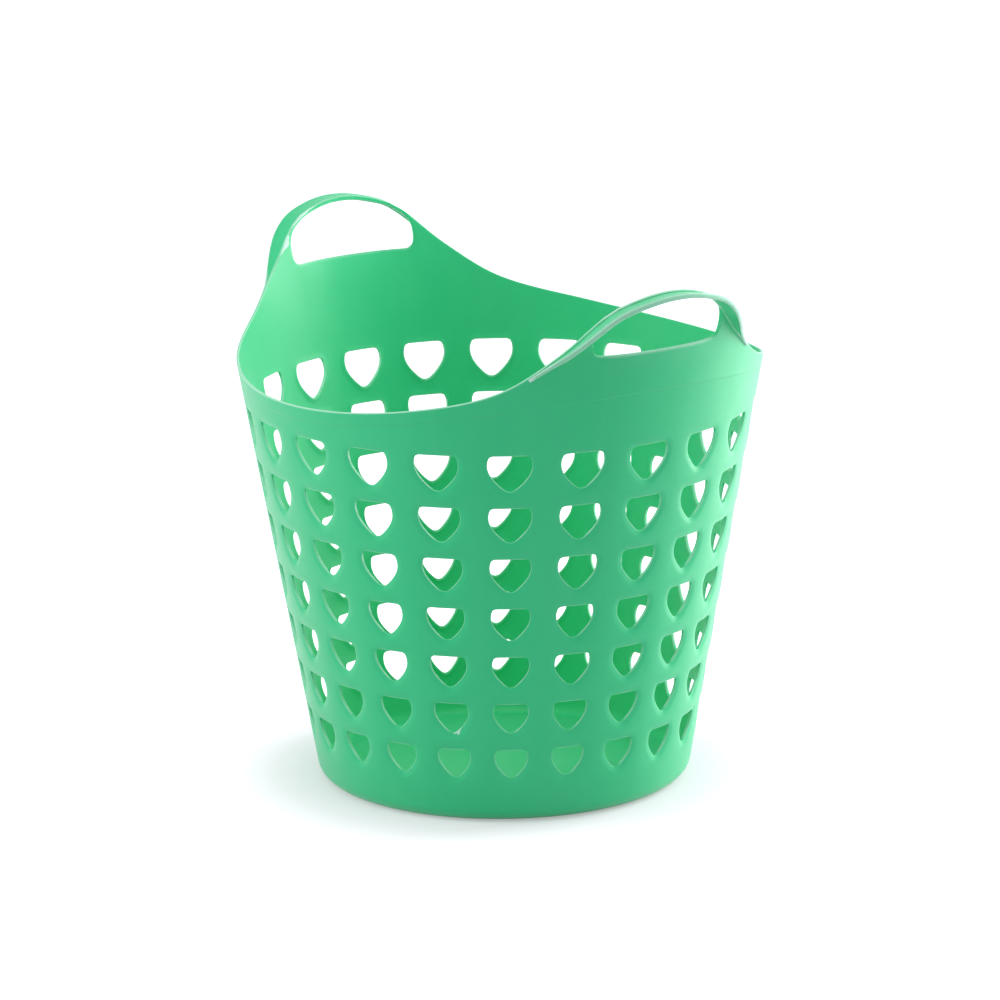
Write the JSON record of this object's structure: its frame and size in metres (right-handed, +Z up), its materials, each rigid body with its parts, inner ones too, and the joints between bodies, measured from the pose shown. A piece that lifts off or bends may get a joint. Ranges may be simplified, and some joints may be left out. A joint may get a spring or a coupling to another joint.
{
  "type": "laundry basket",
  "caption": "Round flexible plastic laundry basket with a perforated leaning wall, flat base, saddle-shaped rim and two raised loop handles with outward grip flanges.",
  "frame": {"origin": "centre of the flat base, on the floor", "axes": "+X towards the right handle, -Y the front, +Z up"},
  "size_m": [0.505, 0.43, 0.4485],
  "materials": {
    "moulding": "satin"
  },
  "bodies": {
    "root": {"base_floor": "moulding", "heel_ring": "moulding", "wall_right": "moulding", "wall_back": "moulding", "wall_left": "moulding", "wall_front": "moulding", "rim_back": "moulding", "rim_front": "moulding", "handle_right": "moulding", "handle_left": "moulding", "grip_right": "moulding", "grip_left": "moulding"}
  },
  "joints": []
}
